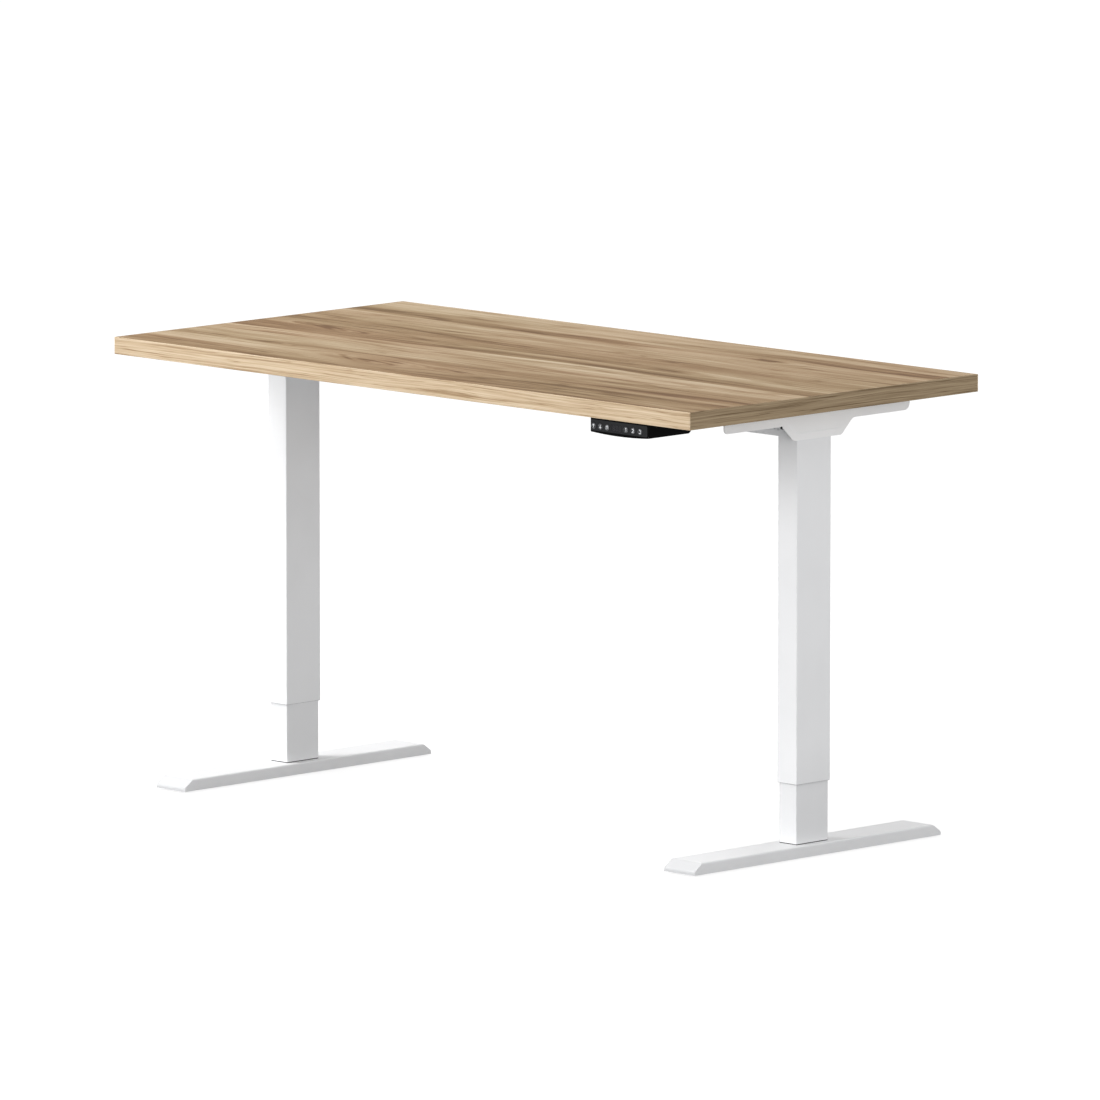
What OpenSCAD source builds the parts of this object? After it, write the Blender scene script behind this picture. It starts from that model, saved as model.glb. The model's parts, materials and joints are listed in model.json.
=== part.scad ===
// Electric height-adjustable desk: a banded wood-effect desktop on two telescopic steel columns.
// Origin on the floor under the middle of the desktop. +X is the user's right, -Y is the user's side.

/* [Desktop] */
// Width of the desktop, left to right
desktop_w = 1400; // [1300:10:1800]
// Depth of the desktop, front to back
desktop_d = 700; // [640:10:900]
// Thickness of the desktop
desktop_t = 30; // [24:1:40]
// Height of the desktop's surface above the floor
desk_h = 797; // [760:1:840]
// Thickness of the edge bands
band_t = 2; // [1:0.5:3]
// Thickness of the laminate sheets
laminate_t = 0.8; // [0.5:0.1:1.2]

/* [Columns] */
// Distance between the two column centres
column_spacing = 1243; // [1100:1:1300]
// How far the columns stand behind the desktop's centre line
column_y = 6.5; // [0:0.5:20]
// Upper tube, size along X
upper_x = 46; // [44:1:60]
// Upper tube, size along Y
upper_y = 82; // [78:1:100]
// Gap between the upper and lower tube, on each side
tube_gap = 1; // [1:0.1:2]
// Wall of both tubes
tube_wall = 1.5; // [1.2:0.1:2]
// Outer corner radius of the upper tube
tube_r = 1.8; // [1.8:0.1:4]
// Height of the upper tube's lower end above the floor
upper_bottom_z = 127; // [120:1:140]
// Height of the lower tube's upper end above the floor
lower_top_z = 620; // [590:1:625]

/* [Feet] */
// Length of a foot, front to back
foot_l = 600; // [520:10:700]
// Width of a foot
foot_w = 72; // [60:1:90]
// Height of a foot's upper face above the floor
foot_top_z = 23; // [21:1:30]
// Height of a foot's lower edge above the floor
foot_bottom_z = 3; // [2:0.5:4]
// Sheet thickness of a foot
foot_wall = 2.5; // [2:0.5:3]
// Length of the bevel at each end of a foot
bevel_run = 19.5; // [10:0.5:30]
// Height of the bevel at each end of a foot
bevel_drop = 13.5; // [8:0.5:14]
// Distance of the levelling pads from the foot's middle
pad_y = 255; // [200:5:260]

/* [Top frame] */
// Length of a side bracket
bracket_l = 450; // [400:10:520]
// How far the side brackets sit behind the column centres
bracket_shift = 5.5; // [0:0.5:10]
// Depth of a side bracket's long flange
flange_h = 25; // [20:1:30]
// Depth of a side bracket at the column
apron_h = 52; // [50:1:60]
// Sheet thickness of the side brackets
bracket_t = 2.5; // [2:0.5:3]
// Height of the motor housings
housing_h = 46.5; // [44:0.5:50]
// Length of the motor housings
housing_l = 139; // [130:1:180]
// Width of a cross rail
rail_w = 18; // [16:1:24]
// Height of a cross rail
rail_h = 30; // [25:1:34]

/* [Handset] */
// Width of the handset
handset_w = 137; // [130:1:150]
// Depth of the handset
handset_d = 103; // [80:1:120]
// Height of the handset at its middle
handset_h = 26.5; // [24:0.5:30]
// Distance of the handset's middle from the desktop's right end
handset_from_end = 168; // [120:1:250]
// Diameter of the push buttons
button_d = 10; // [9:0.1:10.5]

/* [Hidden] */
$fn = 48;

steel_white = "WhiteSmoke";
bare_steel = "Silver";
black_plastic = [0.09, 0.09, 0.10];
white_plastic = [0.85, 0.85, 0.83];

left = -1;
right = 1;
column_x = column_spacing / 2;
under_z = desk_h - desktop_t;

// Section of the lower tube, set inside the upper tube by its wall and the gap.
bore_x = upper_x - 2 * tube_wall;
bore_y = upper_y - 2 * tube_wall;
lower_x = bore_x - 2 * tube_gap;
lower_y = bore_y - 2 * tube_gap;
bore_r = tube_r - tube_wall;
lower_r = 1.8;
// Thickness of the dark plate between the lower tube and the foot.
base_plate_t = 1.3;
// Clearance between parts that slide or turn in each other.
running_gap = 0.3;
liner_t = tube_gap - running_gap;
liner_h = 50;
glide_rim = 2;

// Levels of the drive, measured up from the floor.
bracket_z = under_z - bracket_t;
housing_bottom_z = bracket_z - housing_h;
housing_wall = 1.5;
head_plate_t = 4;
head_bottom_z = housing_bottom_z - head_plate_t;
gearbox_z = housing_bottom_z + housing_wall;
gearbox_h = 36;
worm_z = gearbox_z + 18;
// Distance between the spindle and the motor shaft.
worm_offset = 19;
spindle_r = 6;
spindle_bottom_z = 200;
nut_h = 28;
motor_r = 17.5;
motor_l = 76;
rotor_r = 10;
gearbox_out = 21;
gearbox_in = 22;
// Worm wheel with its hub, the worm, and the bearing's seat under the wheel.
hub_r = 9;
wheel_r = 14.2;
wheel_half = 6;
worm_r = 4.4;
seat_h = 7;

pad_r = 18;
pad_h = 5;
stud_r = 4;
stud_top_z = 17;
// Clearance round a thread, which is drawn as a plain cylinder.
thread_gap = 0.35;
pad_bracket_z = 9;
pad_bracket_t = 3;
// Bolts that hold a column on its foot, from the column's centre.
bolt_x = 12;
bolt_y = 26;
foot_bolt_r = 4;

// Plan of the cross rails, from the column centre line.
rail_y = (upper_y + rail_w) / 2;
rail_end_x = column_x + upper_x / 2;
cap_l = 22;
cap_t = 1.2;
// Side bracket: reach of its plate towards the desk's middle, its raised field, and its fasteners.
plate_in = 37;
field_t = 1.4;
field_slope = 3.2;
screw_places = [-205, -130, 130, 205];
screw_x = -12;
rail_bolt_x = [-8, -28];

// The handset is flush with the desktop's front edge, apart from a small set-back.
handset_x = desktop_w / 2 - handset_from_end;
handset_y = 2 - desktop_d / 2;
handset_wall = 2;
face_t = 1.5;
face_h = 19;
button_z = under_z - 13.5;
button_proud = 0.6;
button_gap = 0.4;
// Places of the buttons from the handset's left end.
button_places = [8.6, 24.6, 40.6, 85, 101.5, 118];
display_place = 63;
display_w = 27;
display_h = 13;

box_w = 230;
box_d = 84;
box_h = 36;
box_y = 84;
box_wall = 2;
box_ear = 14;
inlet_x = 66;
inlet_w = 28;
inlet_h = 22;
lead_r = 2.6;
handset_lead_r = 2;
lead_sides = 10;

// Routes of the leads, below the desktop's underside.
motor_lead_route = [
    [514, 20, -41], [472, 20, -41], [458, 34, -41], [458, 88, -41], [446, 112, -16],
    [426, 126, -5], [190, 126, -5], [150, 126, -16], [114, 126, -20]
];
handset_lead_route = [
    [530, -254, -12], [530, -238, -11], [524, -218, -5], [430, -120, -5], [300, -96, -5], [110, -88, -5],
    [84, -78, -30], [78, -62, -40], [78, 68, -40], [78, 77, -25], [78, 92, -25]
];
motor_clip_x = [400, 310, 220];
handset_clip_x = [180, 240];

// ---------------------------------------------------------------- shapes

function unit(v) = v / norm(v);
function half_angle(p, q, s) = acos(unit(p - q) * unit(s - q)) / 2;
function tangent_points(p, q, s, r) =
    r == 0 ? [q] : [
        q + unit(p - q) * r / tan(half_angle(p, q, s)),
        q + unit(s - q) * r / tan(half_angle(p, q, s))
    ];
function arc_centre(p, q, s, r) =
    q + unit(unit(p - q) + unit(s - q)) * r / sin(half_angle(p, q, s));

// A convex outline whose corners are true arcs.
module rounded_polygon(points, radii) {
    n = len(points);
    polygon([
        for (i = [0 : n - 1])
            each tangent_points(points[(i + n - 1) % n], points[i], points[(i + 1) % n], radii[i])
    ]);
    for (i = [0 : n - 1])
        if (radii[i] > 0)
            corner_arc(points[(i + n - 1) % n], points[i], points[(i + 1) % n], radii[i]);
}

// The part of a round corner outside its chord, with a small wedge that laps into the outline.
module corner_arc(p, q, s, r) {
    ends = tangent_points(p, q, s, r);
    lap = 0.1 * norm(ends[1] - ends[0]);
    intersection() {
        translate(arc_centre(p, q, s, r)) circle(r);
        polygon([ends[0], q, ends[1], (ends[0] + ends[1]) / 2 + lap * unit(ends[0] + ends[1] - 2 * q)]);
    }
}

// A rectangle round the origin with rounded corners.
module rounded_rectangle(x, y, r) {
    rounded_polygon([[-x / 2, -y / 2], [x / 2, -y / 2], [x / 2, y / 2], [-x / 2, y / 2]], [r, r, r, r]);
}

// What fills an inner corner at q, out to an arc that is tangent to both sides.
module inner_fillet(p, q, s, r) {
    ends = tangent_points(p, q, s, r);
    difference() {
        polygon([q, ends[0], ends[1]]);
        translate(arc_centre(p, q, s, r)) circle(r);
    }
}

// A block between two opposite corners.
module block(low, high) {
    translate(low) cube(high - low);
}

module upright_tube(x, y, r, wall, low, high) {
    translate([0, 0, low]) linear_extrude(high - low) difference() {
        rounded_rectangle(x, y, r);
        rounded_rectangle(x - 2 * wall, y - 2 * wall, max(r - wall, 0.5));
    }
}

// An outline drawn in Y and Z, made thick along X.
module along_x(from, to) {
    translate([from, 0, 0]) rotate([90, 0, 90]) linear_extrude(to - from) children();
}

// An outline drawn in X and Z, made thick along Y.
module along_y(from, to) {
    translate([0, to, 0]) rotate([90, 0, 0]) linear_extrude(to - from) children();
}

// A disc or rod along Z.
module rod(r, low, high) {
    translate([0, 0, low]) cylinder(h = high - low, r = r);
}

module ring(outer, inner, low, high) {
    difference() {
        rod(outer, low, high);
        rod(inner, low - 1, high + 1);
    }
}

// A disc or rod along X, about the motor's shaft line.
module shaft(r, from, to) {
    translate([from, -worm_offset, worm_z]) rotate([0, 90, 0]) cylinder(h = to - from, r = r);
}

// Puts one side's parts at its column. +X of the children points away from the desk's middle.
module at_column(side) {
    translate([side * column_x, column_y, 0]) mirror([side < 0 ? 1 : 0, 0, 0]) children();
}

module both_columns() {
    at_column(left) children();
    at_column(right) children();
}

// ---------------------------------------------------------------- feet

// Outline of a foot seen from the side, drawn in by inset.
module foot_outline(inset, low) {
    slope = atan(bevel_drop / bevel_run);
    end_y = foot_l / 2 - inset;
    top_y = foot_l / 2 - bevel_run - inset * tan(slope / 2);
    lip_z = foot_top_z - bevel_drop - inset * tan((90 - slope) / 2);
    top_z = foot_top_z - inset;
    lip_r = 5 - inset;
    top_r = 7 - inset;
    rounded_polygon(
        [[-end_y, low], [end_y, low], [end_y, lip_z], [top_y, top_z], [-top_y, top_z], [-end_y, lip_z]],
        [0, 0, lip_r, top_r, top_r, lip_r]
    );
}

module foot_solid(inset, low) {
    half = foot_w / 2 - inset;
    edge_r = 3 - inset;
    intersection() {
        along_x(-half, half) foot_outline(inset, low);
        along_y(-foot_l, foot_l) rounded_polygon(
            [[-half, low], [half, low], [half, foot_top_z - inset], [-half, foot_top_z - inset]],
            [0, 0, edge_r, edge_r]
        );
    }
}

module at_foot_bolts() {
    for (x = [-bolt_x, bolt_x], y = [-bolt_y, bolt_y]) translate([x, y, 0]) children();
}

module foot() {
    difference() {
        foot_solid(0, foot_bottom_z);
        foot_solid(foot_wall, foot_bottom_z - 1);
        at_foot_bolts() rod(foot_bolt_r + thread_gap, foot_bottom_z, foot_top_z + 1);
    }
}

// Cross plates with weld nuts, which take the levelling pads' studs.
module pad_brackets() {
    half = foot_w / 2 - foot_wall;
    for (y = [-pad_y, pad_y]) translate([0, y, 0]) difference() {
        union() {
            block([-half, -16, pad_bracket_z], [half, 16, pad_bracket_z + pad_bracket_t]);
            translate([0, 0, pad_bracket_z + pad_bracket_t]) cylinder(h = 6, r = 7.5, $fn = 6);
        }
        rod(stud_r + thread_gap, pad_bracket_z - 1, foot_top_z);
    }
}

// Low plastic foot with its threaded stud.
module levelling_pad(side, end) {
    color(black_plastic) at_column(side) translate([0, end * pad_y, 0]) {
        rotate_extrude() polygon([
            [0, 0], [pad_r - 1, 0], [pad_r, 1], [pad_r, 3], [pad_r - 4, pad_h], [0, pad_h]
        ]);
        rod(stud_r, pad_h, stud_top_z);
    }
}

// Steel block welded into the lower tube's foot end, with a plate under the tube's edge.
module tube_base() {
    height = 8;
    difference() {
        translate([0, 0, foot_top_z]) {
            linear_extrude(height)
                rounded_rectangle(lower_x - 2 * tube_wall, lower_y - 2 * tube_wall, lower_r - tube_wall);
            linear_extrude(base_plate_t) rounded_rectangle(lower_x, lower_y, lower_r);
        }
        at_foot_bolts() rod(foot_bolt_r, foot_top_z - 1, foot_top_z + height + 1);
    }
}

module foot_bolts() {
    head_h = 5;
    skin_z = foot_top_z - foot_wall;
    at_foot_bolts() {
        difference() {
            rod(6.5, skin_z - head_h, skin_z);
            translate([0, 0, skin_z - head_h - 1]) cylinder(h = 4, r = 3, $fn = 6);
        }
        rod(foot_bolt_r, skin_z, foot_top_z + 7);
    }
}

// ---------------------------------------------------------------- columns

module lower_tube() {
    upright_tube(lower_x, lower_y, lower_r, tube_wall, foot_top_z + base_plate_t, lower_top_z);
}

module upper_tube() {
    upright_tube(upper_x, upper_y, tube_r, tube_wall, upper_bottom_z, housing_bottom_z);
}

// Sleeve and rim round the lower tube's upper end.
module upper_glide() {
    sleeve_x = lower_x + 2 * liner_t;
    sleeve_y = lower_y + 2 * liner_t;
    difference() {
        translate([0, 0, lower_top_z - liner_h]) linear_extrude(liner_h + glide_rim)
            rounded_rectangle(sleeve_x, sleeve_y, lower_r);
        translate([0, 0, lower_top_z - liner_h - 1]) linear_extrude(liner_h + 1)
            rounded_rectangle(lower_x, lower_y, lower_r);
        rod(spindle_r + 4, lower_top_z - 1, lower_top_z + glide_rim + 1);
    }
}

// Sleeve inside the upper tube's lower end.
module tube_liner() {
    translate([0, 0, upper_bottom_z + 1]) linear_extrude(liner_h - 1) difference() {
        rounded_rectangle(bore_x, bore_y, bore_r);
        rounded_rectangle(bore_x - 2 * liner_t, bore_y - 2 * liner_t, bore_r);
    }
}

// Plate welded into the upper tube's upper end.
module head_plate() {
    difference() {
        translate([0, 0, head_bottom_z]) linear_extrude(head_plate_t)
            rounded_rectangle(bore_x, bore_y, bore_r);
        rod(spindle_r + 3, head_bottom_z - 1, housing_bottom_z + 1);
    }
}

// Plastic block in the lower tube's upper end; the spindle runs through it.
module spindle_nut() {
    difference() {
        translate([0, 0, lower_top_z - nut_h]) linear_extrude(nut_h)
            rounded_rectangle(lower_x - 2 * tube_wall, lower_y - 2 * tube_wall, lower_r - tube_wall);
        rod(spindle_r + thread_gap, lower_top_z - nut_h - 1, lower_top_z + 1);
        for (end = [-1, 1])
            block([-11, end * 25 - 8, lower_top_z - nut_h - 1], [11, end * 25 + 8, lower_top_z - 4]);
    }
}

// ---------------------------------------------------------------- drive

module spindle() {
    rod(spindle_r, spindle_bottom_z, gearbox_z + 30);
    rod(spindle_r + 3, spindle_bottom_z, spindle_bottom_z + 6);
}

// Worm wheel with its hub, keyed on the spindle.
module worm_wheel() {
    difference() {
        union() {
            rod(wheel_r, worm_z - wheel_half, worm_z + wheel_half);
            rod(hub_r, gearbox_z + seat_h + running_gap, gearbox_z + 29);
        }
        rod(spindle_r, gearbox_z, gearbox_z + 40);
        for (a = [0 : 60 : 300]) rotate(a) translate([11.6, 0, 0]) rod(1.2, gearbox_z, gearbox_z + 40);
    }
}

module spindle_bearing() {
    ring(13, spindle_r + thread_gap, gearbox_z, gearbox_z + seat_h);
}

// Cast box round the worm drive, open towards the motor.
module gearbox() {
    difference() {
        block([-gearbox_in, -worm_offset - 12, gearbox_z], [gearbox_out, 19, gearbox_z + gearbox_h]);
        rod(13, gearbox_z - 1, gearbox_z + seat_h);
        rod(wheel_r + 1.5, gearbox_z + seat_h, gearbox_z + gearbox_h - 3);
        shaft(worm_r + 1.2, -gearbox_in - 1, 16);
    }
}

// Can of the motor, hollow round its rotor.
module motor() {
    back_x = -gearbox_in - motor_l;
    difference() {
        union() {
            shaft(motor_r, back_x, -gearbox_in);
            shaft(7, back_x - 4, back_x);
        }
        shaft(rotor_r + 0.8, back_x + 3, -gearbox_in - 4);
        shaft(3.5, -gearbox_in - 5, -gearbox_in + 1);
    }
}

// Rotor, shaft and worm, which turn as one.
module motor_rotor() {
    back_x = -gearbox_in - motor_l;
    shaft(rotor_r, back_x + 12, -gearbox_in - 14);
    shaft(3, back_x + 4, -14);
    shaft(worm_r, -14, 14);
}

// Pressed shell over motor and gearbox, open against the desktop's underside.
module motor_housing() {
    in_x = upper_x / 2 - housing_l;
    out_x = upper_x / 2;
    half = upper_y / 2;
    grommet_z = under_z + motor_lead_route[0].z;
    difference() {
        housing_block(in_x, out_x, half, housing_bottom_z, bracket_z, tube_r);
        housing_block(in_x + housing_wall, out_x - housing_wall, half - housing_wall, gearbox_z, under_z, bore_r);
        rod(spindle_r + 3, housing_bottom_z - 1, gearbox_z + 1);
        translate([in_x - 1, motor_lead_route[0].y - column_y, grommet_z]) rotate([0, 90, 0])
            cylinder(h = 4, r = lead_r + 0.6);
    }
}

// A box with round upright corners and a round lower edge at its inner end.
module housing_block(in_x, out_x, half, low, high, r) {
    intersection() {
        translate([(in_x + out_x) / 2, 0, low]) linear_extrude(high - low)
            rounded_rectangle(out_x - in_x, 2 * half, r);
        along_y(-half, half)
            rounded_polygon([[in_x, low], [out_x, low], [out_x, high], [in_x, high]], [2 * r, 0, 0, 0]);
    }
}

// ---------------------------------------------------------------- top frame

// Outline of a side bracket in Y and Z, from its middle and the desktop's underside.
module bracket_outline() {
    half = bracket_l / 2;
    apron_top = 86;
    apron_bottom = 58;
    rounded_polygon([[-half, -flange_h], [half, -flange_h], [half, 0], [-half, 0]], [8, 13, 0, 0]);
    rounded_polygon(
        [[-apron_bottom, -apron_h], [apron_bottom, -apron_h], [apron_top, -flange_h], [apron_top, -2],
         [-apron_top, -2], [-apron_top, -flange_h]],
        [7, 8, 0, 0, 0, 0]
    );
    inner_fillet([half, -flange_h], [apron_top, -flange_h], [apron_bottom, -apron_h], 14);
}

// Raised field of the apron, set in from its slanted edges, with sloping sides. It starts at from.
module bracket_field(from) {
    top = -4;
    low = -41;
    half_top = 96;
    half_low = 53;
    slant = (half_top - half_low) / (top - low);
    function outline(x, inset) = [
        [x, inset - half_low, low + inset], [x, half_low - inset, low + inset],
        [x, half_top - (1 + slant) * inset, top], [x, (1 + slant) * inset - half_top, top]
    ];
    polyhedron(
        concat(outline(from, 0), outline(from + field_t, field_slope)),
        [[0, 1, 2, 3], [7, 6, 5, 4], [1, 0, 4, 5], [2, 1, 5, 6], [3, 2, 6, 7], [0, 3, 7, 4]]
    );
}

module side_bracket() {
    out_x = upper_x / 2;
    half = bracket_l / 2;
    lip_h = 12;
    translate([0, bracket_shift, 0]) difference() {
        union() {
            translate([0, 0, under_z]) {
                along_x(out_x, out_x + bracket_t) bracket_outline();
                bracket_field(out_x + bracket_t);
            }
            block([-plate_in, -half, bracket_z], [out_x, half, under_z]);
            for (span = [[-half, -70], [70, half]])
                block([-plate_in, span[0], bracket_z - lip_h], [bracket_t - plate_in, span[1], bracket_z]);
        }
        // Relief hole where the front flange meets the apron.
        for (y = [-88, -85.5]) translate([0, y, under_z - 27]) rotate([0, 90, 0]) cylinder(h = 60, r = 2.6);
        for (y = screw_places) translate([screw_x, y, 0]) rod(2.6, bracket_z - 1, under_z + 1);
        translate([0, -bracket_shift, 0]) for (x = rail_bolt_x, end = [-1, 1])
            translate([x, end * rail_y, 0]) rod(3.1, bracket_z - 1, under_z + 1);
    }
}

// Rectangular tube that joins the two side brackets. end is -1 at the front and 1 at the back.
module cross_rail(end) {
    wall = 1.5;
    centre_y = column_y + end * rail_y;
    difference() {
        translate([0, centre_y, bracket_z - rail_h / 2]) along_x(-rail_end_x + 3, rail_end_x - 3) difference() {
            rounded_rectangle(rail_w, rail_h, 2.5);
            rounded_rectangle(rail_w - 2 * wall, rail_h - 2 * wall, 1);
        }
        for (side = [left, right], x = rail_bolt_x)
            translate([side * (column_x + x), centre_y, 0]) rod(3.3, bracket_z - rail_h - 1, under_z);
    }
}

// Plastic sleeves on the rails' ends, closed against the side brackets.
module rail_end_caps() {
    out_x = upper_x / 2;
    both_columns() for (end = [-1, 1]) translate([0, end * rail_y, bracket_z - rail_h / 2]) difference() {
        along_x(out_x - cap_l, out_x) translate([end * cap_t / 2, -cap_t / 2])
            rounded_rectangle(rail_w + cap_t, rail_h + cap_t, 3);
        along_x(out_x - cap_l - 1, out_x - 3) rounded_rectangle(rail_w, rail_h, 2.5);
    }
}

module rail_bolts() {
    head_h = 3.6;
    rail_bottom_z = bracket_z - rail_h;
    both_columns() for (x = rail_bolt_x, end = [-1, 1]) translate([x, end * rail_y, 0]) {
        difference() {
            rod(5.5, rail_bottom_z - head_h, rail_bottom_z);
            translate([0, 0, rail_bottom_z - head_h - 1]) cylinder(h = 3.4, r = 2.6, $fn = 6);
        }
        rod(3, rail_bottom_z, under_z - 0.5);
    }
}

// Pan-head wood screw. z is the level of the sheet that its head holds.
module wood_screw(z) {
    difference() {
        rod(4.5, z - 2.6, z);
        for (a = [0, 90]) rotate(a) block([-2.6, -0.6, z - 3], [2.6, 0.6, z - 1.2]);
    }
    rod(2.2, z, under_z + 15);
}

module desktop_screws() {
    both_columns() for (y = screw_places) translate([screw_x, y + bracket_shift, 0]) wood_screw(bracket_z);
    for (x = [-1, 1], y = [12, box_d - 12])
        translate([x * (box_w + box_ear) / 2, box_y + y, 0]) wood_screw(under_z - 3);
}

// ---------------------------------------------------------------- desktop

module desktop_core() {
    half_w = desktop_w / 2 - band_t;
    half_d = desktop_d / 2 - band_t;
    block([-half_w, -half_d, under_z + laminate_t], [half_w, half_d, desk_h - laminate_t]);
}

module laminate_sheets() {
    half_w = desktop_w / 2 - band_t;
    half_d = desktop_d / 2 - band_t;
    for (z = [under_z, desk_h - laminate_t]) block([-half_w, -half_d, z], [half_w, half_d, z + laminate_t]);
}

// Band along the front (end = -1) or the back (end = 1).
module long_edge_band(end) {
    y = end * (desktop_d - band_t) / 2;
    block([-desktop_w / 2, y - band_t / 2, under_z], [desktop_w / 2, y + band_t / 2, desk_h]);
}

module side_edge_bands() {
    half_d = desktop_d / 2 - band_t;
    for (side = [left, right]) {
        x = side * (desktop_w - band_t) / 2;
        block([x - band_t / 2, -half_d, under_z], [x + band_t / 2, half_d, desk_h]);
    }
}

// ---------------------------------------------------------------- control box and leads

// Tray that hangs under its lid, with the inlet's window in its back.
module control_box() {
    low = under_z - box_h;
    high = under_z - 3;
    difference() {
        translate([0, box_y + box_d / 2, low]) linear_extrude(high - low) rounded_rectangle(box_w, box_d, 6);
        translate([0, box_y + box_d / 2, low + box_wall]) linear_extrude(box_h)
            rounded_rectangle(box_w - 2 * box_wall, box_d - 2 * box_wall, 4);
        block([inlet_x - inlet_w / 2, box_y + box_d - 10, low + 6],
              [inlet_x + inlet_w / 2, box_y + box_d + 1, low + 6 + inlet_h]);
        for (side = [left, right])
            translate([side * box_w / 2, 126, under_z - 20]) rotate([0, 90, 0])
                cylinder(h = 10, r = lead_r + 0.3, center = true);
        translate([78, box_y, under_z - 25]) rotate([90, 0, 0])
            cylinder(h = 10, r = handset_lead_r + 0.3, center = true);
        for (x = [-60 : 12 : 24]) block([x, box_y + box_d - 5, low + 8], [x + 5, box_y + box_d + 1, low + 24]);
    }
}

module control_box_lid() {
    difference() {
        translate([0, box_y + box_d / 2, under_z - 3]) linear_extrude(3)
            rounded_rectangle(box_w + 2 * box_ear, box_d, 6);
        for (x = [-1, 1], y = [12, box_d - 12])
            translate([x * (box_w + box_ear) / 2, box_y + y, 0]) rod(2.6, under_z - 4, under_z + 1);
    }
}

// Circuit board with its transformer, capacitors and relays.
module control_board() {
    low = under_z - box_h + box_wall + 4;
    block([-104, box_y + 8, low], [44, box_y + box_d - 8, low + 1.6]);
    for (x = [-98, 36], y = [box_y + 12, box_y + box_d - 12])
        translate([x, y, 0]) rod(2.5, low - 4, low);
    block([-40, box_y + 18, low + 1.6], [8, box_y + 60, low + 24]);
    for (x = [-88, -70]) translate([x, box_y + 30, 0]) rod(7, low + 1.6, low + 23);
    for (x = [-96, -76, 16]) block([x, box_y + 52, low + 1.6], [x + 15, box_y + 68, low + 16]);
}

// Three-pin appliance inlet in the back of the control box.
module mains_inlet() {
    low = under_z - box_h + 6;
    back_y = box_y + box_d;
    difference() {
        union() {
            block([inlet_x - inlet_w / 2, back_y - 22, low], [inlet_x + inlet_w / 2, back_y, low + inlet_h]);
            block([inlet_x - inlet_w / 2 - 3, back_y, low - 2],
                  [inlet_x + inlet_w / 2 + 3, back_y + 2, low + inlet_h + 2]);
        }
        block([inlet_x - 12, back_y - 17, low + 3], [inlet_x + 12, back_y + 3, low + inlet_h - 3]);
    }
    for (pin = [[-7, 7.5], [0, 11.5], [7, 7.5]])
        block([inlet_x + pin.x - 1, back_y - 17, low + pin.y - 2], [inlet_x + pin.x + 1, back_y - 2, low + pin.y + 2]);
}

// One ring of a swept lead, square to the direction d.
function lead_ring(p, d, r) =
    let (across = unit(cross(d, [0, 0, 1])), up = cross(across, d))
    [for (k = [0 : lead_sides - 1])
        p + r * (cos(k * 360 / lead_sides) * across + sin(k * 360 / lead_sides) * up)];

// A round lead along a list of points, given below the desktop's underside.
module lead(route, r) {
    last = len(route) - 1;
    n = lead_sides;
    rings = [
        for (i = [0 : last])
            lead_ring(route[i], unit(route[min(i + 1, last)] - route[max(i - 1, 0)]), r)
    ];
    sides = [
        for (i = [0 : last - 1], k = [0 : n - 1])
            [i * n + k, i * n + (k + 1) % n, (i + 1) * n + (k + 1) % n, (i + 1) * n + k]
    ];
    ends = [[for (k = [n - 1 : -1 : 0]) k], [for (k = [0 : n - 1]) last * n + k]];
    translate([0, 0, under_z]) polyhedron([for (points = rings) each points], concat(sides, ends));
}

module cable_leads() {
    lead(motor_lead_route, lead_r);
    mirror([1, 0, 0]) lead(motor_lead_route, lead_r);
    lead(handset_lead_route, handset_lead_r);
}

// Saddle that holds a lead against the underside at x, y.
module cable_clip(r) {
    axis_z = under_z - 5;
    difference() {
        union() {
            block([-4, -r - 1.6, axis_z], [4, r + 9, under_z]);
            translate([-4, 0, axis_z]) rotate([0, 90, 0]) cylinder(h = 8, r = r + 1.6);
        }
        translate([-5, 0, axis_z]) rotate([0, 90, 0]) cylinder(h = 10, r = r + 0.05);
        block([-5, r + 1.6, axis_z - 6], [5, r + 10, under_z - 3]);
    }
}

module cable_clips() {
    for (side = [left, right], x = motor_clip_x) translate([side * x, 126, 0]) cable_clip(lead_r);
    start = handset_lead_route[4];
    slope = (handset_lead_route[5].y - start.y) / (handset_lead_route[5].x - start.x);
    for (x = handset_clip_x)
        translate([x, start.y + slope * (x - start.x), 0]) rotate(atan(slope)) cable_clip(handset_lead_r);
}

// ---------------------------------------------------------------- handset

// Outline in X and Z whose lower side sinks by bow from the ends to the middle.
module bowed_outline(inset) {
    bow = 2.8;
    steps = 12;
    polygon(concat(
        [[-handset_w, 1], [handset_w, 1]],
        [for (k = [steps : -1 : -steps])
            let (x = handset_w * k / steps)
            [x, bow * pow(2 * x / handset_w, 2) + inset - handset_h]]
    ));
}

// Body of the handset drawn in by inset: a bowed underside, and a rounded lower edge at the back.
module handset_solid(inset) {
    half = handset_w / 2 - inset;
    translate([handset_x, handset_y, under_z]) intersection() {
        along_y(inset, handset_d - inset) intersection() {
            rounded_rectangle(2 * half, 2 * (handset_h - inset), 3.5 - inset);
            bowed_outline(inset);
        }
        along_x(-half, half) rounded_polygon(
            [[inset, 0], [inset, inset - handset_h], [handset_d - 9, inset - handset_h],
             [handset_d - inset, inset - handset_h + 7], [handset_d - inset, 0]],
            [0, 0, 5, 5, 0]
        );
        translate([0, handset_d / 2, -handset_h - 1]) linear_extrude(handset_h + 1)
            rounded_rectangle(2 * half, handset_d - 2 * inset, 2.5 - inset);
    }
}

function button_x(i) = handset_x - handset_w / 2 + button_places[i];

module handset_window() {
    translate([handset_x, handset_y, under_z - 2.6 - face_h / 2])
        along_y(-5, 8) rounded_rectangle(handset_w - 4, face_h, 2.5);
}

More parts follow.
